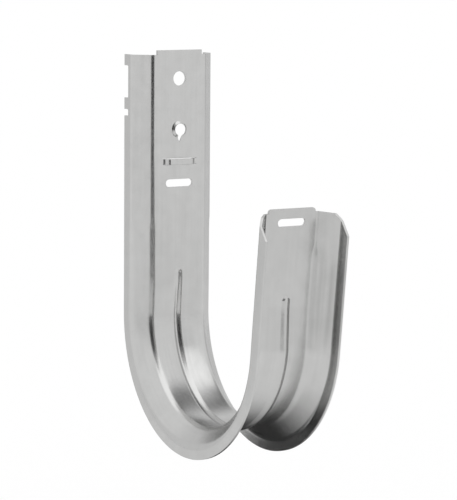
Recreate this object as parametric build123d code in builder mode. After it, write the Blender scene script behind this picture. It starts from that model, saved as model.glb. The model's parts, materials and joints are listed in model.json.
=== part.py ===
from build123d import *
import os
from math import cos, radians, sin, tan

# Wall-mount j-hook for bundles of cable, made from one strip of galvanised sheet steel.
# The strip hangs down the wall as a shank, turns through a U and rises again as a lip.
# Origin: centre of the upper screw hole, on the face that looks at the cables.
# +X runs across the hook, +Y towards the wall, +Z up. All lengths are in millimetres.

# The sheet and the line that it follows, measured on the face that looks at the cables
SHEET = 1.2
HOOK_RADIUS = 50.8
HOLE_TO_HOOK_BOTTOM = 175.5
HOLE_TO_SHANK_TOP = 15.0
LIP_LEAN = 6.66
LIP_LENGTH = 72.5

# The folds across the strip: web, slanted flanges and edge returns
OVERALL_WIDTH = 49.2
FLANGE_ANGLE = 46.0
EDGE_FOLD_RADIUS = 1.8
WEB_WIDTH = 32.0
END_FOLD_RADIUS = 1.8
HOOK_FOLD_RADIUS = 3.6
WALL_DEPTH = 15.4
LIP_DEPTH = 16.7

# Where the tight folds of the ends ease into the round folds of the hook
SHANK_EASE_DROP = 73.7
SHANK_EASE_LENGTH = 6.3
LIP_EASE_DROP = 19.0
LIP_EASE_LENGTH = 5.5

# The web stands above the flanges as a tab at both ends
SHANK_TAB_WIDTH = 27.1
SHANK_TAB_RISE = 2.4
LIP_TAB_WIDTH = 27.6
LIP_TAB_RISE = 2.1
LIP_TAB_CORNER_RADIUS = 1.6

# The clipped corners of the lip: reach in from the free edge, drop from the flange top
CLIP_REACH = 9.3
CLIP_DROP = 9.9

# Holes and slots in the web, as drops below the upper screw hole or the lip's top
SCREW_HOLE_DIAMETER = 7.6
SLOT_LENGTH = 16.2
SLOT_WIDTH = 4.1
SHANK_SLOT_DROP = 55.2
LIP_SLOT_DROP = 7.0

# The thread impression: a low cone with a pointed slit, pressed towards the cables to take a screw
THREAD_DROP = 26.9
THREAD_HOLE_DIAMETER = 6.2
THREAD_CONE_DIAMETER = 9.2
THREAD_CONE_RISE = 1.2
THREAD_SLIT_DROP = 6.0
THREAD_SLIT_WIDTH = 5.0

# The bridge for a cable tie: a strap lanced from the web and pressed towards the cables
BRIDGE_DROP = 43.8
BRIDGE_LENGTH = 21.0
BRIDGE_BREADTH = 3.4
BRIDGE_RAMP = 3.4
BRIDGE_RISE = 2.5
BRIDGE_FOLD_RADIUS = 0.8

# Notches in the edge returns of the shank
NOTCH_DEPTH = 3.95
NOTCH_CORNER_RADIUS = 0.8
LONG_NOTCH_LENGTH = 17.0
LONG_NOTCH_DROP = 1.7
SHORT_NOTCH_LENGTH = 3.5
SHORT_NOTCH_DROP = 17.95

# The stiffening rib, pressed away from the cables along the middle of the web
RIB_WIDTH = 5.4
RIB_DEPTH = 1.0
RIB_SLOPE = 38.0
RIB_GROOVE_RADIUS = 0.8
RIB_TOP_DROP = 100.3
RIB_LIP_DROP = 44.5

# Past the rib's ends the web sinks, its folds a little and its middle, at the rib, a little more
RIB_LEVEL_LENGTH = 4.0
HOOK_SINK = 0.8
HOOK_DISH = 1.2

# Spare length on cutting tools
SPARE = 2.0

half_width = OVERALL_WIDTH / 2
lip_turn = 180 - LIP_LEAN
hook_centre = Vector(0, -HOOK_RADIUS, HOOK_RADIUS - HOLE_TO_HOOK_BOTTOM)
shank_run = HOLE_TO_HOOK_BOTTOM - HOOK_RADIUS
deepest = max(WALL_DEPTH, LIP_DEPTH) + SPARE
half_web = WEB_WIDTH / 2
fold_depth = (half_width - half_web) * tan(radians(FLANGE_ANGLE))

# Corners, root radius and straight flank of the rib's section
rib_peak = RIB_DEPTH + RIB_GROOVE_RADIUS * (1 / cos(radians(RIB_SLOPE)) - 1)
rib_foot = rib_peak / tan(radians(RIB_SLOPE))
rib_root_reach = RIB_WIDTH / 2 - rib_foot
rib_root_radius = rib_root_reach / tan(radians(RIB_SLOPE / 2))
rib_crown_reach = RIB_GROOVE_RADIUS * tan(radians(RIB_SLOPE))
rib_flank = rib_foot / cos(radians(RIB_SLOPE)) - rib_crown_reach - rib_root_reach


def outward(turn):
    """Direction away from the cables after the strip has turned about the hook's centre."""
    return Vector(0, cos(radians(turn)), -sin(radians(turn)))


def backward(turn):
    """Direction back along the strip, towards the shank's top."""
    return Vector(0, sin(radians(turn)), cos(radians(turn)))


def section_plane(turn, ahead=0):
    """Plane across the strip: local X across it, local Y away from the cables."""
    origin = hook_centre + outward(turn) * HOOK_RADIUS - backward(turn) * ahead
    return Plane(origin, x_dir=(1, 0, 0), z_dir=backward(turn))


lip_top = section_plane(lip_turn, LIP_LENGTH).origin
shank_face = Plane.XZ
lip_face = Plane(lip_top, x_dir=(1, 0, 0), z_dir=outward(lip_turn))
lip_side = Plane(lip_top, x_dir=outward(lip_turn), z_dir=(-1, 0, 0))


def folded_sheet(plane, points, radii):
    """Sketch of the sheet behind a line of points on its cable face, with its folds' radii there."""
    corners = [Vector(point) for point in points]
    runs = [(end - start).normalized() for start, end in zip(corners, corners[1:])]
    normals = [run.rotate(Axis.Z, 90) for run in runs]
    back_corners = [corners[0] + normals[0] * SHEET]
    back_radii = []
    for index, radius in enumerate(radii):
        mitre = (normals[index] + normals[index + 1]) / (1 + normals[index].dot(normals[index + 1]))
        back_corners.append(corners[index + 1] + mitre * SHEET)
        inner = runs[index].cross(runs[index + 1]).Z > 0
        back_radii.append(radius - SHEET if inner else radius + SHEET)
    back_corners.append(corners[-1] + normals[-1] * SHEET)
    with BuildSketch(plane) as section:
        with BuildLine():
            face_line = FilletPolyline(*corners, radius=radii)
            back_line = FilletPolyline(*back_corners, radius=back_radii)
            Line(face_line @ 0, back_line @ 0)
            Line(face_line @ 1, back_line @ 1)
        make_face()
    return section.sketch


def plain_section(plane, fold_radius):
    """Sketch of the strip's section with a flat web."""
    edge_radius = EDGE_FOLD_RADIUS + SHEET
    web_radius = fold_radius + SHEET
    points = [
        (-half_width, deepest),
        (-half_width, fold_depth),
        (-half_web, 0),
        (half_web, 0),
        (half_width, fold_depth),
        (half_width, deepest),
    ]
    return folded_sheet(plane, points, [edge_radius, web_radius, web_radius, edge_radius])


def end_section(plane):
    """Sketch of the section with tight folds, at the strip's two ends."""
    return plain_section(plane, END_FOLD_RADIUS)


def hook_section(plane):
    """Sketch of the section with round folds, between the rib and the strip's ends."""
    return plain_section(plane, HOOK_FOLD_RADIUS)


def ribbed_section(plane, sink, dish):
    """Sketch of the section with a rib, its web sunk at the folds and further by dish at the rib."""
    edge_radius = EDGE_FOLD_RADIUS + SHEET
    web_radius = HOOK_FOLD_RADIUS + SHEET
    fold_radii = [edge_radius, web_radius, rib_root_radius]
    points = [
        (-half_width, deepest),
        (-half_width, fold_depth),
        (-half_web, sink),
        (-rib_foot, sink + dish),
        (0, sink + dish + rib_peak),
        (rib_foot, sink + dish),
        (half_web, sink),
        (half_width, fold_depth),
        (half_width, deepest),
    ]
    return folded_sheet(plane, points, fold_radii + [RIB_GROOVE_RADIUS] + fold_radii[::-1])


def level_section(plane):
    """Sketch of the ribbed section with a level web, at the rib's ends."""
    return ribbed_section(plane, 0, 0)


def sunk_section(plane):
    """Sketch of the ribbed section with its web sunk, as it runs through the hook."""
    return ribbed_section(plane, HOOK_SINK, HOOK_DISH)


def half_rib(plane, face_depth, base_depth):
    """Sketch of half the rib's section, from a web face at face_depth back to base_depth."""
    with BuildSketch(plane) as section:
        with BuildLine():
            crown = JernArc((0, face_depth + RIB_DEPTH), (1, 0), RIB_GROOVE_RADIUS + face_depth, -RIB_SLOPE)
            flank = PolarLine(crown @ 1, rib_flank, direction=crown % 1)
            root = JernArc(flank @ 1, flank % 1, rib_root_radius - face_depth, RIB_SLOPE)
            Polyline(root @ 1, ((root @ 1).X, base_depth), (0, base_depth), crown @ 0)
        make_face()
    return section.sketch


with BuildPart() as hook_body:
    # Shank: tight folds at the top, easing into round folds, then the ribbed run
    shank_ribbed = shank_run - RIB_TOP_DROP - RIB_WIDTH / 2
    shank_ease_top = section_plane(0, SHANK_EASE_DROP - shank_run)
    shank_ease_foot = section_plane(0, SHANK_EASE_DROP + SHANK_EASE_LENGTH - shank_run)
    shank_rib_end = section_plane(0, -shank_ribbed)
    shank_level_end = section_plane(0, RIB_LEVEL_LENGTH - shank_ribbed)
    shank_plain = RIB_TOP_DROP + RIB_WIDTH / 2 - SHANK_EASE_DROP - SHANK_EASE_LENGTH
    extrude(end_section(shank_ease_top), amount=HOLE_TO_SHANK_TOP + SHANK_EASE_DROP)
    loft([end_section(shank_ease_top), hook_section(shank_ease_foot)])
    extrude(hook_section(shank_rib_end), amount=shank_plain)
    extrude(level_section(shank_level_end), amount=RIB_LEVEL_LENGTH)
    loft([level_section(shank_level_end), sunk_section(section_plane(0))])

    # Hook
    hook_axis = Axis(hook_centre, (-1, 0, 0))
    revolve(sunk_section(section_plane(0)), axis=hook_axis, revolution_arc=lip_turn)

    # Lip: the ribbed run, then round folds easing back into tight ones
    lip_ribbed = LIP_LENGTH - RIB_LIP_DROP - RIB_WIDTH / 2
    lip_rib_end = section_plane(lip_turn, lip_ribbed)
    lip_level_end = section_plane(lip_turn, lip_ribbed - RIB_LEVEL_LENGTH)
    lip_ease_foot = section_plane(lip_turn, LIP_LENGTH - LIP_EASE_DROP - LIP_EASE_LENGTH)
    lip_ease_top = section_plane(lip_turn, LIP_LENGTH - LIP_EASE_DROP)
    lip_plain = RIB_LIP_DROP + RIB_WIDTH / 2 - LIP_EASE_DROP - LIP_EASE_LENGTH
    loft([sunk_section(section_plane(lip_turn)), level_section(lip_level_end)])
    extrude(level_section(lip_rib_end), amount=RIB_LEVEL_LENGTH)
    extrude(hook_section(lip_ease_foot), amount=lip_plain)
    loft([hook_section(lip_ease_foot), end_section(lip_ease_top)])
    extrude(end_section(lip_ease_top), amount=-LIP_EASE_DROP)

    # Side silhouette of the free edges, which deepen from the shank to the bottom of the hook
    with BuildSketch(Plane.YZ):
        with BuildLine():
            turning_point = (hook_centre.Y, hook_centre.Z)
            shank_top = HOLE_TO_SHANK_TOP + SPARE
            edge_radius = HOOK_RADIUS + LIP_DEPTH
            shank_edge = Line((WALL_DEPTH, shank_top), (WALL_DEPTH, hook_centre.Z))
            EllipticalCenterArc(turning_point, HOOK_RADIUS + WALL_DEPTH, edge_radius, 270, arc_size=90)
            hook_edge = CenterArc(turning_point, edge_radius, 270, 90 - lip_turn)
            lip_edge = PolarLine(hook_edge @ 1, LIP_LENGTH + SPARE, direction=hook_edge % 1)
            Polyline(lip_edge @ 1, (-SPARE, shank_top), shank_edge @ 0)
        make_face()
    extrude(amount=OVERALL_WIDTH, both=True, mode=Mode.INTERSECT)

    # Round ends of the rib
    shank_turning = Axis(shank_rib_end.origin, -outward(0))
    lip_turning = Axis(lip_rib_end.origin, outward(lip_turn))
    revolve(half_rib(shank_rib_end, SHEET, SHEET / 2), axis=shank_turning, revolution_arc=180)
    revolve(half_rib(lip_rib_end, SHEET, SHEET / 2), axis=lip_turning, revolution_arc=180)
    revolve(
        half_rib(shank_rib_end, 0, -SPARE),
        axis=shank_turning,
        revolution_arc=180,
        mode=Mode.SUBTRACT,
    )
    revolve(
        half_rib(lip_rib_end, 0, -SPARE),
        axis=lip_turning,
        revolution_arc=180,
        mode=Mode.SUBTRACT,
    )

    # Tabs: the flanges end below the web's top
    with BuildSketch(shank_face):
        with Locations((0, HOLE_TO_SHANK_TOP)):
            Rectangle(OVERALL_WIDTH + SPARE, 2 * SHANK_TAB_RISE)
            Rectangle(SHANK_TAB_WIDTH, 2 * SHANK_TAB_RISE, mode=Mode.SUBTRACT)
    extrude(amount=deepest, both=True, mode=Mode.SUBTRACT)
    with BuildSketch(lip_face):
        Rectangle(OVERALL_WIDTH + SPARE, 2 * LIP_TAB_RISE)
        with Locations((0, -LIP_TAB_WIDTH / 2)):
            RectangleRounded(LIP_TAB_WIDTH, LIP_TAB_WIDTH, LIP_TAB_CORNER_RADIUS, mode=Mode.SUBTRACT)
    extrude(amount=deepest, both=True, mode=Mode.SUBTRACT)

    # Clipped corners of the lip
    with BuildSketch(lip_side):
        with BuildLine():
            Polyline(
                (LIP_DEPTH - CLIP_REACH, SPARE),
                (LIP_DEPTH - CLIP_REACH, -LIP_TAB_RISE),
                (LIP_DEPTH, -LIP_TAB_RISE - CLIP_DROP),
                (LIP_DEPTH + SPARE, -LIP_TAB_RISE - CLIP_DROP),
                (LIP_DEPTH + SPARE, SPARE),
                close=True,
            )
        make_face()
    extrude(amount=OVERALL_WIDTH, both=True, mode=Mode.SUBTRACT)

    # Notches in the edge returns of the shank
    with BuildSketch(Plane.YZ):
        with Locations((WALL_DEPTH, -LONG_NOTCH_DROP)):
            RectangleRounded(2 * NOTCH_DEPTH, LONG_NOTCH_LENGTH, NOTCH_CORNER_RADIUS)
        with Locations((WALL_DEPTH, -SHORT_NOTCH_DROP)):
            RectangleRounded(2 * NOTCH_DEPTH, SHORT_NOTCH_LENGTH, NOTCH_CORNER_RADIUS)
    extrude(amount=OVERALL_WIDTH, both=True, mode=Mode.SUBTRACT)

    # Screw hole, slots and the openings of the thread impression and the bridge
    with BuildSketch(shank_face):
        Circle(SCREW_HOLE_DIAMETER / 2)
        with Locations((0, -THREAD_DROP)):
            Circle(THREAD_CONE_DIAMETER / 2)
        with Locations((0, -BRIDGE_DROP)):
            Rectangle(BRIDGE_LENGTH, BRIDGE_BREADTH)
        with Locations((0, -SHANK_SLOT_DROP)):
            SlotOverall(SLOT_LENGTH, SLOT_WIDTH)
    extrude(amount=SHEET + SPARE, both=True, mode=Mode.SUBTRACT)
    with BuildSketch(lip_face):
        with Locations((0, -LIP_SLOT_DROP)):
            SlotOverall(SLOT_LENGTH, SLOT_WIDTH)
    extrude(amount=SHEET + SPARE, both=True, mode=Mode.SUBTRACT)

    # Thread impression
    with BuildSketch(Plane.XY.offset(-THREAD_DROP)):
        with BuildLine():
            Polyline(
                (THREAD_CONE_DIAMETER / 2, 0),
                (THREAD_HOLE_DIAMETER / 2, -THREAD_CONE_RISE),
                (THREAD_HOLE_DIAMETER / 2, SHEET - THREAD_CONE_RISE),
                (THREAD_CONE_DIAMETER / 2, SHEET),
                close=True,
            )
        make_face()
    revolve(axis=Axis((0, 0, -THREAD_DROP), (0, 1, 0)))
    with BuildSketch(shank_face):
        with BuildLine():
            Polyline(
                (-THREAD_SLIT_WIDTH / 2, -THREAD_DROP),
                (THREAD_SLIT_WIDTH / 2, -THREAD_DROP),
                (0, -THREAD_DROP - THREAD_SLIT_DROP),
                close=True,
            )
        make_face()
    extrude(amount=SHEET + SPARE, both=True, mode=Mode.SUBTRACT)

    # Bridge
    with BuildSketch(Plane.XY.offset(-BRIDGE_DROP)):
        with BuildLine():
            bridge_end = BRIDGE_LENGTH / 2
            bridge_foot = bridge_end - BRIDGE_FOLD_RADIUS
            bridge_top = bridge_end - BRIDGE_RAMP
            top_radius = BRIDGE_FOLD_RADIUS + SHEET
            FilletPolyline(
                (-bridge_end, 0),
                (-bridge_foot, 0),
                (-bridge_top, -BRIDGE_RISE),
                (bridge_top, -BRIDGE_RISE),
                (bridge_foot, 0),
                (bridge_end, 0),
                radius=[BRIDGE_FOLD_RADIUS, top_radius, top_radius, BRIDGE_FOLD_RADIUS],
            )
            offset(amount=SHEET, side=Side.LEFT)
        make_face()
    extrude(amount=BRIDGE_BREADTH / 2, both=True)

os.makedirs("parts", exist_ok=True)
hook_body.part.label = "hook_body"
export_step(hook_body.part, "parts/hook_body.step")
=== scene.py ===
import json
from math import asin, cos, degrees, pi, radians, sin, tan
from typing import NamedTuple

import bmesh
import bpy
import numpy as np
from bpy.props import FloatProperty, FloatVectorProperty, PointerProperty
from mathutils import Matrix, Vector


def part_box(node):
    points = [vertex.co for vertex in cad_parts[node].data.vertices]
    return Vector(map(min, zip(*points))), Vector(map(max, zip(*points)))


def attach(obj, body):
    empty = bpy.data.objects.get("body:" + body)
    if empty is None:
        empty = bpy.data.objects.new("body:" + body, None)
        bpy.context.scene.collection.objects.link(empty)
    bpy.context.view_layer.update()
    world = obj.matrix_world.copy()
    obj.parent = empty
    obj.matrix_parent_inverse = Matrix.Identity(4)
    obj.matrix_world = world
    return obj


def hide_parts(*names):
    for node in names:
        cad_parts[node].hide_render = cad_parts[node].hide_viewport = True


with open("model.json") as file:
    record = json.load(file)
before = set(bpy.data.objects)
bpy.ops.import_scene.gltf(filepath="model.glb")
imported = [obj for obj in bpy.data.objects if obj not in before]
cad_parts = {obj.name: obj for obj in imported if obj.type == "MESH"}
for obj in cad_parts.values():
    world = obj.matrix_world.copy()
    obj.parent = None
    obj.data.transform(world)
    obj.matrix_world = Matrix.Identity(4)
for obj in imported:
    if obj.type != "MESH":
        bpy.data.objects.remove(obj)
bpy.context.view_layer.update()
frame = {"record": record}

bl_info = {
    "name": "Wall-Mount J-Hook",
    "version": (1, 0, 0),
    "blender": (4, 5, 0),
    "location": "View3D > Sidebar > J-Hook",
    "description": "Dresses a folded sheet-steel j-hook in zinc and sets its studio stage",
    "category": "Object",
}

# Places and sizes from the frame, in metres: +X to the right, +Y to the wall and +Z up
HOOK_NODE = "hook_body"
HOOK_LOW, HOOK_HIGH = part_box(HOOK_NODE)
MOUNTS = {mount["name"]: mount for mount in frame["record"]["mounts"]}
SCREW_HOLE_RADIUS = MOUNTS["wall_screw_hole"]["dims"]["r_mm"] / 1000
THREAD_HOLE_RADIUS = MOUNTS["accessory_thread"]["dims"]["r_mm"] / 1000
THREAD_DROP = -MOUNTS["accessory_thread"]["pos_m"][2]
SHANK_SLOT_DROP = -MOUNTS["shank_retainer_slot"]["pos_m"][2]
BRIDGE_DROP = -MOUNTS["tie_bridge"]["pos_m"][2]

# Steps between the rows of the strip's mesh, and the half width of the web that is as fine as its features
FINE_STEP = 0.0003
HOOK_STEP = 0.0012
STRAIGHT_STEP = 0.003
FINE_WEB = 0.0054

# Columns of points across the rest of the web, each fold, each flange, each return and the tie bridge
WEB_COLUMNS = 10
FOLD_COLUMNS = 11
FLANGE_COLUMNS = 8
RETURN_COLUMNS = 5
BRIDGE_COLUMNS = 81

# Step that slopes are measured over, reach of cutting tools past the sheet, and angle of a sharp edge
NUDGE = FINE_STEP / 4
SPARE = 0.002
SHARP_ANGLE = radians(35)

# Powers that curve the dish and the thread cone, and how far the cone runs on inside its hole
DISH_CURVE = 1.4
CONE_CURVE = 1.15
CONE_OVERRUN = 1.3

# Range that most of a noise lies in, share of streaks in the zinc's mottle, length of streaks and of the
# painted reflection streaks in widths, and tint of the zinc at grazing angles
NOISE_LOW = 0.3
NOISE_HIGH = 0.7
STREAK_SHARE = 0.45
STREAK_STRETCH = 40
REFLECTION_STREAK_STRETCH = 60
GRAZING_TINT = (0.8, 0.8, 0.8, 1.0)

# Painted reflection: darker streaks on the lip's right flange and return, standing in for streaky
# reflections there; along each axis, where they begin and where they are full
REFLECTION_STREAK_FADES = (
    ("X", 0.0135, 0.0155),
    ("Y", -0.085, -0.095),
    ("Z", -0.079, -0.092),
    ("Z", -0.136, -0.120),
)

# Softbox in metres, with its place about the hook in degrees
SOFTBOX_WIDTH = 1.8
SOFTBOX_LENGTH = 2.0
SOFTBOX_DISTANCE = 1.3
SOFTBOX_AZIMUTH = -10
SOFTBOX_ELEVATION = 70

# Colour of the flags, and roughness of flags and floor
FLAG_COLOUR = (0.02, 0.02, 0.02, 1.0)
STAGE_ROUGHNESS = 0.9


class Flag(NamedTuple):
    """Size, density and edge softness of a black flag and its place about the hook, in metres and degrees"""

    name: str
    width: float
    height: float
    density: float
    softness: float
    distance: float = 0.0
    azimuth: float = 0.0
    elevation: float = 0.0
    slant: float = 0.0


# Flags that stand round the hook and face it
STANDING_FLAGS = (
    Flag("flag_beside_camera", 1.85, 2.5, 1.0, 0.3, distance=1.6, azimuth=-21, elevation=12, slant=25),
    Flag("flag_above_right", 1.25, 1.15, 0.78, 0.8, distance=1.2, azimuth=112, elevation=55),
    Flag("flag_right_wall", 1.2, 1.0, 0.25, 0.8, distance=1.2, azimuth=92, elevation=8),
    Flag("flag_back_wall", 3.0, 0.9, 0.13, 0.4, distance=0.7, azimuth=180, elevation=8),
    Flag("flag_table_front", 2.4, 0.16, 0.1, 0.5, distance=0.5, azimuth=-10, elevation=-17),
)

# Flags that lie just above the floor
LYING_FLAGS = (
    Flag("flag_on_floor", 1.5, 0.5, 0.75, 0.5, distance=1.4, azimuth=-21),
    Flag("flag_behind_hook", 0.7, 0.56, 1.0, 0.75, distance=0.12, azimuth=180),
)
LYING_LIFT = 0.002

# Small flag that stands below the hook's left side and looks along +X
UNDER_EDGE_FLAG = Flag("flag_under_edge", 0.09, 0.06, 1.0, 0.12)
UNDER_EDGE_PLACE = Vector((-0.022, 0.0, HOOK_LOW.z - 0.02))


def length(name, description, default, least=0.0):
    """Length property in metres."""
    return FloatProperty(
        name=name,
        description=description,
        default=default,
        min=least,
        unit="LENGTH",
        precision=5,
    )


def angle(name, description, turn):
    """Angle property with its default in degrees."""
    return FloatProperty(name=name, description=description, default=radians(turn), subtype="ANGLE")


def share(name, description, default):
    """Property that runs from 0 to 1."""
    return FloatProperty(
        name=name,
        description=description,
        default=default,
        subtype="FACTOR",
        min=0.0,
        max=1.0,
    )


def colour(name, description, default):
    """Colour property."""
    return FloatVectorProperty(
        name=name,
        description=description,
        default=default,
        subtype="COLOR",
        size=3,
        min=0.0,
        max=1.0,
    )


class StripSizes(bpy.types.PropertyGroup):
    """Sizes of the folded strip, on the face that looks at the cables"""

    sheet: length("Sheet", "Thickness of the sheet steel", 0.0012)
    hook_radius: length("Hook Radius", "Inner radius of the U", 0.0508)
    hook_drop: length("Hook Drop", "Upper screw hole down to the bottom of the U", 0.1755)
    lip_lean: angle("Lip Lean", "Lean of the lip away from the shank", 6.66)
    lip_length: length("Lip Length", "Straight run of the lip", 0.0725)
    lip_depth: length("Lip Depth", "Web to free edge under the hook and along the lip", 0.0167)
    web_width: length("Web Width", "Web between the corners of its folds", 0.032)
    flange_angle: angle("Flange Angle", "Turn from web to flange", 46.0)
    edge_fold: length("Edge Fold", "Inner radius of the fold to the return at both ends", 0.0018)
    end_fold: length("End Fold", "Inner radius of the web's folds at both ends", 0.0024)
    hook_fold: length("Hook Fold", "Inner radius of the web's folds where the hook begins", 0.0036)
    lip_fold: length("Lip Fold", "Inner radius of the web's folds where the hook ends", 0.005)
    hook_edge_fold: length(
        "Hook Edge Fold",
        "Inner radius of the fold to the return through the hook's first half",
        0.005,
    )
    shank_ease_drop: length("Shank Ease", "Upper screw hole down to where the folds open out", 0.0737)
    lip_ease_drop: length("Lip Ease", "Lip top down to where the folds open out", 0.019)
    ease_length: length("Ease Length", "Run over which the folds open out", 0.006)
    rib_width: length("Rib Width", "Width of the stiffening rib", 0.0052)
    rib_depth: length("Rib Depth", "Depth of the stiffening rib", 0.00075)
    rib_top_drop: length("Rib Top", "Upper screw hole down to the rib's upper end", 0.1003)
    rib_lip_drop: length("Rib Lip End", "Lip top down to the rib's other end", 0.0445)
    rib_level: length("Rib Level", "Run at the rib's ends over which the web stays level", 0.004)
    dish: length("Dish", "Sinking of the web towards the rib, round the U", 0.0012)
    sink: length("Sink", "Sinking of the web's folds, round the U", 0.0008)


class PunchSizes(bpy.types.PropertyGroup):
    """Sizes of the holes, slots, tabs and pressed features"""

    shank_tab_width: length("Shank Tab Width", "Width of the tab at the shank's top", 0.0271)
    shank_tab_rise: length("Shank Tab Rise", "Height of that tab above the flanges", 0.0024)
    lip_tab_width: length("Lip Tab Width", "Width of the tab at the lip's top", 0.0276)
    lip_tab_rise: length("Lip Tab Rise", "Height of that tab above the flanges", 0.0021)
    lip_tab_round: length("Lip Tab Corner", "Corner radius of the lip's tab", 0.0016)
    clip_reach: length("Clip Reach", "Reach of the lip's clipped corners in from the free edge", 0.0093)
    clip_drop: length("Clip Drop", "Drop of the lip's clipped corners below the flange top", 0.0099)
    slot_length: length("Slot Length", "Length of the retainer slots", 0.0162)
    slot_width: length("Slot Width", "Width of the retainer slots", 0.0041)
    lip_slot_drop: length("Lip Slot Drop", "Lip top down to its slot", 0.007)
    cone_radius: length("Thread Cone Radius", "Outer radius of the thread impression", 0.0046)
    cone_rise: length("Thread Cone Rise", "Height of the thread impression", 0.001)
    rim_flare: FloatProperty(
        name="Rim Flare",
        description="Widening of the thread's hole towards the wall, per length through the sheet",
        min=0.0,
        default=0.55,
    )
    slit_drop: length("Thread Slit", "Thread hole's centre down to the slit's point", 0.0056)
    slit_width: length("Thread Slit Width", "Width of the slit where it leaves the thread hole", 0.0024)
    bridge_length: length("Bridge Length", "Length of the lanced strap", 0.021)
    bridge_breadth: length("Bridge Breadth", "Breadth of the window that the strap is lanced from", 0.0034)
    bridge_kerf: length("Bridge Kerf", "Gap that stretching leaves above and below the strap", 0.0002)
    bridge_ramp: length("Bridge Ramp", "Run of the strap's sloping ends", 0.0036)
    bridge_rise: length("Bridge Rise", "Height of the strap above the web", 0.0025)
    notch_depth: length("Notch Depth", "Depth of the notches in the edge returns", 0.00395)
    notch_round: length("Notch Corner", "Corner radius of the notches", 0.0008)
    long_notch: length("Long Notch", "Length of the upper notch", 0.017)
    long_notch_drop: length("Long Notch Drop", "Upper screw hole down to the upper notch's middle", 0.0017)
    short_notch: length("Short Notch", "Length of the lower notch", 0.0035)
    short_notch_drop: length(
        "Short Notch Drop",
        "Upper screw hole down to the lower notch's middle",
        0.01795,
    )


class ZincFinish(bpy.types.PropertyGroup):
    """Colour, gloss and texture of the galvanised sheet"""

    zinc_colour: colour("Zinc Colour", "Colour of the zinc coat where it is clean", (0.565, 0.565, 0.56))
    dull_colour: colour("Dull Colour", "Colour of the zinc coat where it has dulled", (0.52, 0.52, 0.515))
    # Darker colour painted in streaks on the lip's right flange and return, as painted reflection
    painted_streak_colour: colour("Painted Streak Colour", "Colour painted in streaks as reflection on the lip's right flange", (0.42, 0.42, 0.415))
    gloss_roughness: share("Smoothest", "Roughness of the best-drawn streaks", 0.19)
    matt_roughness: share("Roughest", "Roughness of the dullest patches", 0.27)
    streak_width: length("Streak Width", "Spacing of the streaks across the strip", 0.0016, least=0.0001)
    wave_length: length("Wave Length", "Distance between the waves left by forming", 0.007, least=0.001)
    wave_height: length("Wave Height", "Height of the shallow waves left by forming", 0.00006)
    edge_round: length("Edge Rounding", "Radius that the shears leave on cut edges", 0.00028)


class StudioStage(bpy.types.PropertyGroup):
    """Floor, light and camera"""

    floor_drop: length("Floor Drop", "Height of the hook's lowest edge above the floor", 0.12)
    floor_size: length("Floor Size", "Length of the floor's sides", 30.0)
    floor_colour: colour("Floor Colour", "Colour of floor and surroundings", (1.0, 1.0, 1.0))
    softbox_glow: FloatProperty(
        name="Softbox Glow",
        description="Brightness that the overhead softbox adds to the white surroundings",
        min=0.0,
        default=0.48,
    )
    view_azimuth: angle("View Azimuth", "Turn of the camera from the front towards the left", 31.583)
    view_elevation: angle("View Elevation", "Height of the camera above the level view", 6.833)
    view_roll: angle("View Roll", "Tilt of the camera about its own axis", -0.41)
    view_distance: length("View Distance", "Distance from the camera to the point it looks at", 1.4363)
    view_aim: FloatVectorProperty(
        name="View Aim",
        description="Point that the camera looks at",
        subtype="TRANSLATION",
        size=3,
        default=(0.002423, -0.04649, -0.08625),
    )
    view_lens: FloatProperty(
        name="Lens",
        description="Focal length of the camera in millimetres",
        unit="CAMERA",
        default=200.1,
    )


def new_material(name):
    """Return a node material with its tree and its Principled BSDF."""
    material = bpy.data.materials.new(name)
    material.use_nodes = True
    tree = material.node_tree
    return material, tree, tree.nodes["Principled BSDF"]


def add_node(tree, kind, **inputs):
    """Add a shader node and set the named inputs on it."""
    node = tree.nodes.new(kind)
    for name, value in inputs.items():
        node.inputs[name.replace("_", " ")].default_value = value
    return node


def scaled_noise(tree, position, scale, detail):
    """Noise over a position that is scaled on each axis."""
    stretch = add_node(tree, "ShaderNodeMapping", Scale=scale)
    noise = add_node(tree, "ShaderNodeTexNoise", Scale=1.0, Detail=detail)
    tree.links.new(position, stretch.inputs["Vector"])
    tree.links.new(stretch.outputs["Vector"], noise.inputs["Vector"])
    return noise.outputs["Fac"]


def streaked_noise(tree, position, spacing, stretch, detail):
    """Noise that is drawn out along the strip into streaks, with a spacing across it."""
    across = 1.0 / spacing
    along = across / stretch
    return scaled_noise(tree, position, (across, along, along), detail)


def spread_range(tree, value, low, high):
    """Map the middle of a noise's range on to low to high."""
    spread = add_node(
        tree,
        "ShaderNodeMapRange",
        From_Min=NOISE_LOW,
        From_Max=NOISE_HIGH,
        To_Min=low,
        To_Max=high,
    )
    tree.links.new(value, spread.inputs["Value"])
    return spread.outputs["Result"]


def smooth_fade(tree, value, start, full, top=1.0):
    """Go smoothly from 0 where the value is at start to top where it is at full."""
    fade = add_node(tree, "ShaderNodeMapRange", From_Min=start, From_Max=full, To_Min=0.0, To_Max=top)
    fade.interpolation_type = "SMOOTHSTEP"
    tree.links.new(value, fade.inputs["Value"])
    return fade.outputs["Result"]


def product(tree, first, second):
    """Multiply two values."""
    node = add_node(tree, "ShaderNodeMath")
    node.operation = "MULTIPLY"
    tree.links.new(first, node.inputs[0])
    tree.links.new(second, node.inputs[1])
    return node.outputs["Value"]


def painted_reflection_streaks(tree, position, spacing):
    """Mask of painted reflection: darker streaks along the lip's right flange and return, fading out at
    their ends.
    """
    axes = add_node(tree, "ShaderNodeSeparateXYZ")
    tree.links.new(position, axes.inputs["Vector"])
    streaks = streaked_noise(tree, position, spacing, REFLECTION_STREAK_STRETCH, detail=1.0)
    marks = spread_range(tree, streaks, 0.0, 1.0)
    for axis, start, full in REFLECTION_STREAK_FADES:
        marks = product(tree, marks, smooth_fade(tree, axes.outputs[axis], start, full))
    return marks


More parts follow.
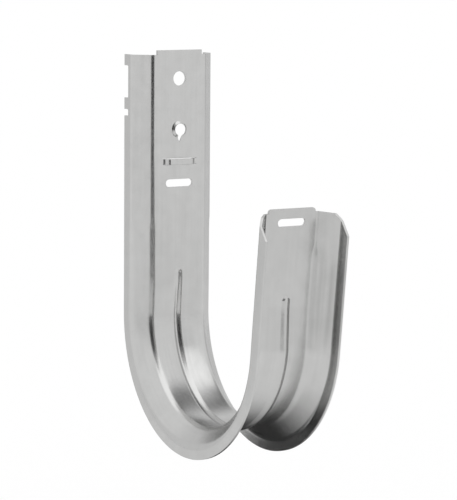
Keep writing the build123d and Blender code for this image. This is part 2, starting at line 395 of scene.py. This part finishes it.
def zinc_sheet(finish):
    """Satin zinc with drawing streaks along the strip, dull patches and shallow forming waves."""
    material, tree, metal = new_material("zinc_sheet")
    links = tree.links
    position = add_node(tree, "ShaderNodeTexCoord").outputs["Object"]
    wave = 1.0 / finish.wave_length
    streaks = streaked_noise(tree, position, finish.streak_width, STREAK_STRETCH, detail=4.0)
    patches = scaled_noise(tree, position, (wave, wave, wave), detail=3.0)

    mottle = add_node(tree, "ShaderNodeMix")
    mottle.data_type = "FLOAT"
    mottle.inputs["Factor"].default_value = STREAK_SHARE
    links.new(patches, mottle.inputs["A"])
    links.new(streaks, mottle.inputs["B"])
    tint = add_node(tree, "ShaderNodeMix")
    tint.data_type = "RGBA"
    tint.inputs["A"].default_value = (*finish.dull_colour, 1.0)
    tint.inputs["B"].default_value = (*finish.zinc_colour, 1.0)
    links.new(spread_range(tree, mottle.outputs["Result"], 0.0, 1.0), tint.inputs["Factor"])
    # Painted reflection: darker streaks on the lip's right flange and return
    reflection_painted = add_node(tree, "ShaderNodeMix")
    reflection_painted.data_type = "RGBA"
    reflection_painted.inputs["B"].default_value = (*finish.painted_streak_colour, 1.0)
    links.new(painted_reflection_streaks(tree, position, finish.streak_width), reflection_painted.inputs["Factor"])
    links.new(tint.outputs["Result"], reflection_painted.inputs["A"])
    links.new(reflection_painted.outputs["Result"], metal.inputs["Base Color"])
    gloss = spread_range(tree, mottle.outputs["Result"], finish.matt_roughness, finish.gloss_roughness)
    links.new(gloss, metal.inputs["Roughness"])
    metal.inputs["Metallic"].default_value = 1.0
    metal.inputs["Specular Tint"].default_value = GRAZING_TINT

    rounding = add_node(tree, "ShaderNodeBevel", Radius=finish.edge_round)
    waves = add_node(tree, "ShaderNodeBump", Strength=1.0, Distance=finish.wave_height)
    links.new(patches, waves.inputs["Height"])
    links.new(rounding.outputs["Normal"], waves.inputs["Normal"])
    links.new(waves.outputs["Normal"], metal.inputs["Normal"])
    return material


def eased(value, start, end):
    """Go smoothly from 0 at start to 1 at end."""
    part = np.clip((value - start) / (end - start), 0.0, 1.0)
    return part * part * (3.0 - 2.0 * part)


class StripLine:
    """The line that the cable face follows: down the shank, round the hook and up the lip.

    A run along it is 0 where the hook begins, and less than 0 on the shank.
    """

    def __init__(self, strip):
        self.radius = strip.hook_radius
        self.turn = pi - strip.lip_lean
        self.centre_z = strip.hook_radius - strip.hook_drop
        self.top = self.centre_z - HOOK_HIGH.z
        self.hook_end = self.radius * self.turn
        self.lip_top = self.hook_end + strip.lip_length
        self.rib_start = self.centre_z + strip.rib_top_drop + strip.rib_width / 2
        self.rib_end = self.lip_top - strip.rib_lip_drop - strip.rib_width / 2
        self.level_end = self.rib_start + strip.rib_level
        self.level_start = self.rib_end - strip.rib_level
        self.thread = self.centre_z + THREAD_DROP

    def place(self, run, across, depth):
        """Points at a run along the line, an offset across it and a depth behind the cable face."""
        turn = np.clip(run / self.radius, 0.0, self.turn)
        ahead = run - turn * self.radius
        out = self.radius + depth
        y = out * np.cos(turn) - ahead * np.sin(turn) - self.radius
        z = self.centre_z - out * np.sin(turn) - ahead * np.cos(turn)
        return np.stack(np.broadcast_arrays(across, y, z), -1)

    def stations(self, fine_places):
        """Runs of the rows of the mesh: close together at the pressed features and round the hook."""
        stops = (0.0, self.hook_end, *sum(fine_places, ()))
        runs = [self.top]
        while runs[-1] < self.lip_top:
            run = runs[-1]
            step = HOOK_STEP if 0 <= run < self.hook_end else STRAIGHT_STEP
            if any(low - FINE_STEP <= run < high for low, high in fine_places):
                step = FINE_STEP
            ahead = [stop for stop in stops if stop > run + FINE_STEP / 2]
            runs.append(min(run + step, self.lip_top, *ahead))
        return np.array(runs)[:, None]


def sunk_share(line, run):
    """How far the web has sunk: not at the rib's ends, wholly all through the hook."""
    down = np.clip((run - line.level_end) / -line.level_end, 0.0, 1.0)
    up = np.clip((line.level_start - run) / (line.level_start - line.hook_end), 0.0, 1.0)
    return np.minimum(down, up)


def web_press(strip, punch, line, run, across, flat):
    """Depth that rib, dish and thread impression give the web, away from the cables."""
    beyond = run - np.clip(run, line.rib_start, line.rib_end)
    reach = np.clip(np.hypot(across, beyond) / (strip.rib_width / 2), 0.0, 1.0)
    rib = strip.rib_depth * np.cos(pi / 2 * reach) ** 2
    to_fold = np.clip(np.abs(across) / flat, 0.0, 1.0)
    dish = strip.dish * sunk_share(line, run) * (1.0 - to_fold) ** DISH_CURVE
    from_thread = np.hypot(across, run - line.thread)
    up_cone = (punch.cone_radius - from_thread) / (punch.cone_radius - THREAD_HOLE_RADIUS)
    cone = punch.cone_rise * np.clip(up_cone, 0.0, CONE_OVERRUN) ** CONE_CURVE
    return rib + dish - cone


def fold_radii(strip, line, run):
    """Radii on the cable face of the web's folds and of the folds to the returns, at each run."""
    shank_ease = line.centre_z + strip.shank_ease_drop
    lip_ease = line.lip_top - strip.lip_ease_drop
    opened = eased(run, shank_ease, shank_ease + strip.ease_length)
    opened = opened * (1.0 - eased(run, lip_ease - strip.ease_length, lip_ease))
    along = eased(run, 0.0, line.hook_end)
    round_fold = strip.hook_fold + (strip.lip_fold - strip.hook_fold) * along
    web_radius = strip.sheet + strip.end_fold + (round_fold - strip.end_fold) * opened
    edge_opened = opened * (1.0 - eased(run, line.hook_end / 2, line.hook_end))
    edge_radius = strip.sheet + strip.edge_fold + (strip.hook_edge_fold - strip.edge_fold) * edge_opened
    return web_radius, edge_radius


def half_section(strip, punch, line, run):
    """Offset, depth and lean of the section's right half at each run, from the middle out."""
    half_width = HOOK_HIGH.x
    half_web = strip.web_width / 2
    turn = np.clip(run / line.radius, 0.0, pi / 2)
    edge = HOOK_HIGH.y + (strip.lip_depth - HOOK_HIGH.y) * np.sin(turn) ** 2
    corner = (half_width - half_web) * tan(strip.flange_angle) + edge - HOOK_HIGH.y
    sink = strip.sink * sunk_share(line, run)
    rise = np.arctan2(corner - sink, half_width - half_web)
    web_radius, edge_radius = fold_radii(strip, line, run)
    flat = half_web - web_radius * np.tan(rise / 2)

    fine = np.arange(0.0, FINE_WEB, FINE_STEP) + 0 * run
    coarse = FINE_WEB + (flat - FINE_WEB) * np.linspace(0, 1, WEB_COLUMNS)
    web = np.concatenate([fine, coarse], 1)
    press = web_press(strip, punch, line, run, web, flat)
    press_after = web_press(strip, punch, line, run, web + NUDGE, flat)
    press_before = web_press(strip, punch, line, run, web - NUDGE, flat)
    web_lean = np.arctan((press_after - press_before) / (2 * NUDGE))

    bend_turn = rise * np.linspace(0, 1, FOLD_COLUMNS)[1:]
    bend_across = flat + web_radius * np.sin(bend_turn)
    bend_depth = sink + web_radius * (1.0 - np.cos(bend_turn))

    fold_turn = rise + (pi / 2 - rise) * np.linspace(0, 1, FOLD_COLUMNS)
    return_depth = corner + edge_radius * np.tan((pi / 2 - rise) / 2)
    fold_across = half_width - edge_radius * (1.0 - np.sin(fold_turn))
    fold_depth = return_depth - edge_radius * np.cos(fold_turn)

    flange = np.linspace(0, 1, FLANGE_COLUMNS)[1:-1]
    flange_across = bend_across[:, -1:] + (fold_across[:, :1] - bend_across[:, -1:]) * flange
    flange_depth = bend_depth[:, -1:] + (fold_depth[:, :1] - bend_depth[:, -1:]) * flange
    flange_lean = np.broadcast_to(rise, flange_across.shape)

    edge_depth = return_depth + (edge - return_depth) * np.linspace(0, 1, RETURN_COLUMNS)[1:]
    edge_across = np.full_like(edge_depth, half_width)
    edge_lean = np.full_like(edge_depth, pi / 2)

    across = np.concatenate([web, bend_across, flange_across, fold_across, edge_across], 1)
    depth = np.concatenate([sink + press, bend_depth, flange_depth, fold_depth, edge_depth], 1)
    lean = np.concatenate([web_lean, bend_turn, flange_lean, fold_turn, edge_lean], 1)
    return across, depth, lean


def mirrored(half, sign):
    """Whole rows from their right halves, with that sign on the left."""
    return np.concatenate([sign * half[:, :0:-1], half], 1)


def sheet_solid(face, back):
    """Closed mesh between two grids of points, the sheet's two faces."""
    rows, columns = face.shape[:2]
    solid = bmesh.new()
    front = [[solid.verts.new(point) for point in row] for row in face]
    rear = [[solid.verts.new(point) for point in row] for row in back]
    for i in range(rows - 1):
        for j in range(columns - 1):
            solid.faces.new((front[i][j], front[i + 1][j], front[i + 1][j + 1], front[i][j + 1]))
            solid.faces.new((rear[i][j], rear[i][j + 1], rear[i + 1][j + 1], rear[i + 1][j]))
        for j in (0, columns - 1):
            solid.faces.new((front[i][j], front[i + 1][j], rear[i + 1][j], rear[i][j]))
    for j in range(columns - 1):
        for i in (0, rows - 1):
            solid.faces.new((front[i][j], front[i][j + 1], rear[i][j + 1], rear[i][j]))
    return solid


def folded_strip(strip, punch, line):
    """Closed mesh of the pressed and folded strip, before anything is cut from it."""
    cone = punch.cone_radius + SPARE / 2
    end = strip.rib_width / 2 + SPARE / 2
    fine_places = [
        (line.thread - cone, line.thread + cone),
        (line.rib_start - end, line.rib_start + SPARE),
        (line.rib_end - SPARE, line.rib_end + end),
    ]
    run = line.stations(fine_places)
    right_across, right_depth, right_lean = half_section(strip, punch, line, run)
    across = mirrored(right_across, -1)
    depth = mirrored(right_depth, 1)
    lean = mirrored(right_lean, -1)
    face = line.place(run, across, depth)
    back = line.place(run, across - strip.sheet * np.sin(lean), depth + strip.sheet * np.cos(lean))
    return sheet_solid(face, back)


def bridge_strap(strip, punch):
    """Closed mesh of the lanced strap, raised towards the cables."""
    half = punch.bridge_length / 2
    foot = half - strip.sheet / 2
    across = np.linspace(-half - FINE_STEP, half + FINE_STEP, BRIDGE_COLUMNS)[None, :]

    def depth(offset):
        return -punch.bridge_rise * (1.0 - eased(np.abs(offset), foot - punch.bridge_ramp, foot))

    lean = np.arctan((depth(across + NUDGE) - depth(across - NUDGE)) / (2 * NUDGE))
    half_breadth = punch.bridge_breadth / 2 - punch.bridge_kerf
    level = half_breadth * np.array([[1.0], [-1.0]]) - BRIDGE_DROP
    face = np.stack(np.broadcast_arrays(across, depth(across), level), -1)
    back_across = across - strip.sheet * np.sin(lean)
    back_depth = depth(across) + strip.sheet * np.cos(lean)
    back = np.stack(np.broadcast_arrays(back_across, back_depth, level), -1)
    return sheet_solid(face, back)


def add_stack(solid, outlines, plane, heights):
    """Add a solid through outlines that lie at heights above a plane."""
    rings = []
    for outline, height in zip(outlines, heights):
        rings.append([solid.verts.new(plane @ Vector((u, v, height))) for u, v in outline])
    solid.faces.new(rings[0])
    solid.faces.new(rings[-1])
    for low, high in zip(rings, rings[1:]):
        for i in range(len(low)):
            solid.faces.new((low[i - 1], low[i], high[i], high[i - 1]))


def add_prism(solid, outline, plane, reach):
    """Add a prism on an outline in a plane, reaching both ways from it."""
    add_stack(solid, (outline, outline), plane, (-reach, reach))


def arc(centre, radius, start, end, points=24):
    """Points on an arc, with its angles in degrees."""
    turns = np.radians(np.linspace(start, end, points))
    return [(centre[0] + radius * cos(turn), centre[1] + radius * sin(turn)) for turn in turns]


def circle_outline(radius, points=48):
    """Circle about the plane's origin."""
    return arc((0, 0), radius, 0, 360 - 360 / points, points)


def box_outline(left, right, low, high):
    """Rectangle between two sides and two levels."""
    return [(left, low), (right, low), (right, high), (left, high)]


def rounded_outline(middle, width, height, corner):
    """Rectangle with round corners."""
    x = width / 2 - corner
    y = height / 2 - corner
    corners = ((x, y, 0), (-x, y, 90), (-x, -y, 180), (x, -y, 270))
    return [
        (middle[0] + point[0], middle[1] + point[1])
        for u, v, turn in corners
        for point in arc((u, v), corner, turn, turn + 90, points=8)
    ]


def slot_outline(middle, long, wide):
    """Round-ended slot that lies across the strip."""
    reach = (long - wide) / 2
    right = arc((reach, middle), wide / 2, -90, 90)
    return right + arc((-reach, middle), wide / 2, 90, 270)


def thread_outline(punch):
    """Round hole about the plane's origin, with a pointed slit below it."""
    slit = degrees(asin(punch.slit_width / 2 / THREAD_HOLE_RADIUS))
    hole = arc((0, 0), THREAD_HOLE_RADIUS, slit - 90, 270 - slit, points=40)
    return hole + [(0, -punch.slit_drop)]


def plane_of(origin, u, v, normal):
    """Matrix of a drawing plane."""
    plane = Matrix((u, v, normal)).transposed().to_4x4()
    return Matrix.Translation(origin) @ plane


def shank_planes():
    """Planes of the shank's web and of its side view, both from the screw hole."""
    across = Vector((1, 0, 0))
    outward = Vector((0, 1, 0))
    upward = Vector((0, 0, 1))
    return plane_of(Vector(), across, upward, outward), plane_of(Vector(), outward, upward, across)


def lip_planes(line):
    """Planes of the lip's web and of its side view, both from the middle of the lip's top."""
    across = Vector((1, 0, 0))
    outward = Vector((0, cos(line.turn), -sin(line.turn)))
    upward = Vector((0, -sin(line.turn), -cos(line.turn)))
    top = Vector(line.place(np.array(line.lip_top), 0.0, 0.0))
    return plane_of(top, across, upward, outward), plane_of(top, outward, upward, across)


def pierce_web(tools, strip, punch, shank_face, lip_face):
    """Add the tools for the screw hole, the thread's hole, the bridge's window and the retainer slots."""
    through = strip.sheet + SPARE
    add_prism(tools, circle_outline(SCREW_HOLE_RADIUS), shank_face, through)

    teardrop = thread_outline(punch)
    flare = 1.0 + punch.rim_flare * (through + punch.cone_rise) / THREAD_HOLE_RADIUS
    flared = [(flare * u, flare * v) for u, v in teardrop]
    thread_face = shank_face @ Matrix.Translation((0, -THREAD_DROP, 0))
    add_stack(tools, (teardrop, teardrop, flared), thread_face, (-through, -punch.cone_rise, through))

    window = punch.bridge_length / 2
    lance = punch.bridge_breadth / 2
    lanced = box_outline(-window, window, -BRIDGE_DROP - lance, -BRIDGE_DROP + lance)
    add_prism(tools, lanced, shank_face, through)

    shank_slot = slot_outline(-SHANK_SLOT_DROP, punch.slot_length, punch.slot_width)
    lip_slot = slot_outline(-punch.lip_slot_drop, punch.slot_length, punch.slot_width)
    add_prism(tools, shank_slot, shank_face, through)
    add_prism(tools, lip_slot, lip_face, through)


def free_tabs(tools, punch, beyond, deep, shank_face, lip_face):
    """Add the tools that take the flanges down beside the tabs at both ends of the strip."""
    flange_top = HOOK_HIGH.z - punch.shank_tab_rise
    over = HOOK_HIGH.z + SPARE
    lip_tab = punch.lip_tab_width / 2
    corner = punch.lip_tab_round
    lip_shoulder = arc((lip_tab - corner, -corner), corner, 90, 0, points=8) + [
        (lip_tab, -punch.lip_tab_rise),
        (beyond, -punch.lip_tab_rise),
        (beyond, SPARE),
        (lip_tab - corner, SPARE),
    ]
    for side in (-1, 1):
        shank_shoulder = box_outline(side * punch.shank_tab_width / 2, side * beyond, flange_top, over)
        add_prism(tools, shank_shoulder, shank_face, deep)
        add_prism(tools, [(side * u, v) for u, v in lip_shoulder], lip_face, deep)


def notch_returns(tools, punch, beyond, shank_side):
    """Add the tools for the two notches in each of the shank's returns."""
    long_notch = (punch.long_notch_drop, punch.long_notch)
    short_notch = (punch.short_notch_drop, punch.short_notch)
    for drop, tall in (long_notch, short_notch):
        notch = rounded_outline((HOOK_HIGH.y, -drop), 2 * punch.notch_depth, tall, punch.notch_round)
        add_prism(tools, notch, shank_side, beyond)


def clip_corners(clips, strip, punch, beyond, deep, lip_side):
    """Add the tool that clips the corners of the lip's returns."""
    reach = strip.lip_depth - punch.clip_reach
    shoulder = -punch.lip_tab_rise
    foot = shoulder - punch.clip_drop
    clip = [(reach, SPARE), (reach, shoulder), (strip.lip_depth, foot), (deep, foot), (deep, SPARE)]
    add_prism(clips, clip, lip_side, beyond)


def cutting_tools(strip, punch, line):
    """Meshes of what is cut out of the strip: one of all the tools that lie apart, one of the clips."""
    shank_face, shank_side = shank_planes()
    lip_face, lip_side = lip_planes(line)
    beyond = HOOK_HIGH.x + SPARE
    deep = strip.lip_depth + SPARE
    tools = bmesh.new()
    pierce_web(tools, strip, punch, shank_face, lip_face)
    free_tabs(tools, punch, beyond, deep, shank_face, lip_face)
    notch_returns(tools, punch, beyond, shank_side)
    clips = bmesh.new()
    clip_corners(clips, strip, punch, beyond, deep, lip_side)
    return tools, clips


def object_from(name, solid):
    """Object in the scene from a bmesh."""
    mesh = bpy.data.meshes.new(name)
    bmesh.ops.recalc_face_normals(solid, faces=solid.faces)
    solid.to_mesh(mesh)
    solid.free()
    piece = bpy.data.objects.new(name, mesh)
    bpy.context.scene.collection.objects.link(piece)
    return piece


def combine(piece, other, operation):
    """Cut another solid from the piece, or join it on, and drop the other."""
    modifier = piece.modifiers.new(operation.lower(), "BOOLEAN")
    modifier.operation = operation
    modifier.solver = "EXACT"
    modifier.object = other
    graph = bpy.context.evaluated_depsgraph_get()
    done = bpy.data.meshes.new_from_object(piece.evaluated_get(graph))
    piece.modifiers.clear()
    piece.data = done
    bpy.data.objects.remove(other)


class JHOOK_OT_zinc_body(bpy.types.Operator):
    """Fold the strip, cut and press its features and dress it in zinc"""

    bl_idname = "jhook.zinc_body"
    bl_label = "Fold Hook from Zinc Sheet"

    def execute(self, context):
        strip = context.scene.jhook_strip
        punch = context.scene.jhook_punch
        line = StripLine(strip)
        hook = object_from("folded_hook", folded_strip(strip, punch, line))
        tools, clips = cutting_tools(strip, punch, line)
        combine(hook, object_from("cutting_tools", tools), "DIFFERENCE")
        combine(hook, object_from("corner_clips", clips), "DIFFERENCE")
        combine(hook, object_from("bridge_strap", bridge_strap(strip, punch)), "UNION")
        mesh = hook.data
        if not mesh.polygons:
            raise RuntimeError("the folded strip has no faces")
        mesh.polygons.foreach_set("use_smooth", [True] * len(mesh.polygons))
        mesh.set_sharp_from_angle(angle=SHARP_ANGLE)
        mesh.materials.clear()
        mesh.materials.append(zinc_sheet(context.scene.jhook_zinc))
        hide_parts(HOOK_NODE)
        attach(hook, "root")
        return {"FINISHED"}


def towards(azimuth, elevation):
    """Direction from the hook, azimuth from straight in front towards the right, in degrees."""
    turn = radians(azimuth)
    rise = radians(elevation)
    return Vector((cos(rise) * sin(turn), -cos(rise) * cos(turn), sin(rise)))


def looking(place, ahead):
    """Matrix of a thing at a place whose +Z looks ahead."""
    return Matrix.Translation(place) @ ahead.to_track_quat("Z", "Y").to_matrix().to_4x4()


def flat_card(name, width, height, material):
    """Rectangle about its own origin."""
    x = width / 2
    y = height / 2
    mesh = bpy.data.meshes.new(name)
    mesh.from_pydata([(-x, -y, 0), (x, -y, 0), (x, y, 0), (-x, y, 0)], [], [(0, 1, 2, 3)])
    mesh.materials.append(material)
    card = bpy.data.objects.new(name, mesh)
    bpy.context.scene.collection.objects.link(card)
    return card


def black_flag(flag):
    """Dark soft-edged card that shows only as a reflection."""
    material, tree, cloth = new_material(flag.name + "_cloth")
    links = tree.links
    cloth.inputs["Base Color"].default_value = FLAG_COLOUR
    cloth.inputs["Roughness"].default_value = STAGE_ROUGHNESS
    position = add_node(tree, "ShaderNodeTexCoord").outputs["Object"]
    to_edge = add_node(tree, "ShaderNodeMapping", Scale=(2 / flag.width, 2 / flag.height, 1.0))
    either_way = add_node(tree, "ShaderNodeVectorMath")
    either_way.operation = "ABSOLUTE"
    axes = add_node(tree, "ShaderNodeSeparateXYZ")
    links.new(position, to_edge.inputs["Vector"])
    links.new(to_edge.outputs["Vector"], either_way.inputs[0])
    links.new(either_way.outputs["Vector"], axes.inputs["Vector"])
    full = 1.0 - flag.softness
    sideways = smooth_fade(tree, axes.outputs["X"], 1.0, full, top=flag.density)
    upwards = smooth_fade(tree, axes.outputs["Y"], 1.0, full)
    links.new(product(tree, sideways, upwards), cloth.inputs["Alpha"])
    card = flat_card(flag.name, flag.width, flag.height, material)
    card.visible_camera = False
    card.visible_diffuse = False
    card.visible_shadow = False
    return card


class JHOOK_OT_studio_stage(bpy.types.Operator):
    """Set the pale floor, the white surroundings, softbox, black flags and camera"""

    bl_idname = "jhook.studio_stage"
    bl_label = "Set Studio Stage"

    def execute(self, context):
        scene = context.scene
        stage = scene.jhook_stage
        scene.view_settings.view_transform = "Standard"
        middle = (HOOK_LOW + HOOK_HIGH) / 2
        floor_level = HOOK_LOW.z - stage.floor_drop
        self.lay_floor(scene, stage, floor_level)
        self.hang_softbox(scene, stage, middle)
        self.stand_flags(middle, floor_level)
        self.aim_camera(scene, stage)
        return {"FINISHED"}

    def lay_floor(self, scene, stage, floor_level):
        """Paper floor in surroundings of the same colour."""
        world = bpy.data.worlds.new("white_surroundings")
        world.use_nodes = True
        world.node_tree.nodes["Background"].inputs["Color"].default_value = (*stage.floor_colour, 1.0)
        scene.world = world
        paper, _, surface = new_material("floor_paper")
        surface.inputs["Base Color"].default_value = (*stage.floor_colour, 1.0)
        surface.inputs["Roughness"].default_value = STAGE_ROUGHNESS
        surface.inputs["Specular IOR Level"].default_value = 0.0
        floor = flat_card("floor", stage.floor_size, stage.floor_size, paper)
        floor.location.z = floor_level

    def hang_softbox(self, scene, stage, middle):
        """Large softbox above and in front of the hook, which lights the metal but not the floor."""
        light = bpy.data.lights.new("softbox", "AREA")
        light.shape = "RECTANGLE"
        light.size = SOFTBOX_WIDTH
        light.size_y = SOFTBOX_LENGTH
        # An area light of this power looks as bright as a surface that glows by softbox_glow
        light.energy = stage.softbox_glow * pi * light.size * light.size_y
        softbox = bpy.data.objects.new("softbox", light)
        place = middle + SOFTBOX_DISTANCE * towards(SOFTBOX_AZIMUTH, SOFTBOX_ELEVATION)
        # A light shines along its own -Z, so its +Z looks away from the hook
        softbox.matrix_world = looking(place, place - middle)
        softbox.visible_diffuse = False
        scene.collection.objects.link(softbox)

    def stand_flags(self, middle, floor_level):
        """Black flags that draw the dark lines and patches of the metal."""
        for flag in STANDING_FLAGS:
            place = middle + flag.distance * towards(flag.azimuth, flag.elevation)
            slant = Matrix.Rotation(radians(flag.slant), 4, "Z")
            black_flag(flag).matrix_world = looking(place, middle - place) @ slant
        for flag in LYING_FLAGS:
            place = flag.distance * towards(flag.azimuth, flag.elevation)
            place.z = floor_level + LYING_LIFT
            turn = Matrix.Rotation(radians(flag.azimuth), 4, "Z")
            black_flag(flag).matrix_world = Matrix.Translation(place) @ turn
        black_flag(UNDER_EDGE_FLAG).matrix_world = looking(UNDER_EDGE_PLACE, Vector((1, 0, 0)))

    def aim_camera(self, scene, stage):
        """Camera at the photograph's angle."""
        turn = stage.view_azimuth
        rise = stage.view_elevation
        ahead = Vector((sin(turn) * cos(rise), cos(turn) * cos(rise), -sin(rise)))
        right = Vector((cos(turn), -sin(turn), 0))
        down = ahead.cross(right)
        tilted_right = cos(stage.view_roll) * right + sin(stage.view_roll) * down
        tilted_down = cos(stage.view_roll) * down - sin(stage.view_roll) * right
        place = Vector(stage.view_aim) - stage.view_distance * ahead
        lens = bpy.data.cameras.new("photo_view")
        lens.lens = stage.view_lens
        camera = bpy.data.objects.new("photo_view", lens)
        camera.matrix_world = Matrix((
            (tilted_right.x, -tilted_down.x, -ahead.x, place.x),
            (tilted_right.y, -tilted_down.y, -ahead.y, place.y),
            (tilted_right.z, -tilted_down.z, -ahead.z, place.z),
            (0, 0, 0, 1),
        ))
        scene.collection.objects.link(camera)
        scene.camera = camera


class VIEW3D_PT_jhook(bpy.types.Panel):
    """Sizes, colours and steps of the j-hook"""

    bl_label = "J-Hook"
    bl_idname = "VIEW3D_PT_jhook"
    bl_space_type = "VIEW_3D"
    bl_region_type = "UI"
    bl_category = "J-Hook"

    def draw(self, context):
        layout = self.layout
        scene = context.scene
        for group in (scene.jhook_strip, scene.jhook_punch, scene.jhook_zinc, scene.jhook_stage):
            for name in group.__annotations__:
                layout.prop(group, name)
        layout.operator(JHOOK_OT_zinc_body.bl_idname)
        layout.operator(JHOOK_OT_studio_stage.bl_idname)


CLASSES = (
    StripSizes,
    PunchSizes,
    ZincFinish,
    StudioStage,
    JHOOK_OT_zinc_body,
    JHOOK_OT_studio_stage,
    VIEW3D_PT_jhook,
)


def register():
    for cls in CLASSES:
        bpy.utils.register_class(cls)
    bpy.types.Scene.jhook_strip = PointerProperty(type=StripSizes)
    bpy.types.Scene.jhook_punch = PointerProperty(type=PunchSizes)
    bpy.types.Scene.jhook_zinc = PointerProperty(type=ZincFinish)
    bpy.types.Scene.jhook_stage = PointerProperty(type=StudioStage)


def unregister():
    del bpy.types.Scene.jhook_stage
    del bpy.types.Scene.jhook_zinc
    del bpy.types.Scene.jhook_punch
    del bpy.types.Scene.jhook_strip
    for cls in reversed(CLASSES):
        bpy.utils.unregister_class(cls)


def main():
    register()
    bpy.ops.jhook.zinc_body()
    bpy.ops.jhook.studio_stage()


if __name__ == "__main__":
    main()
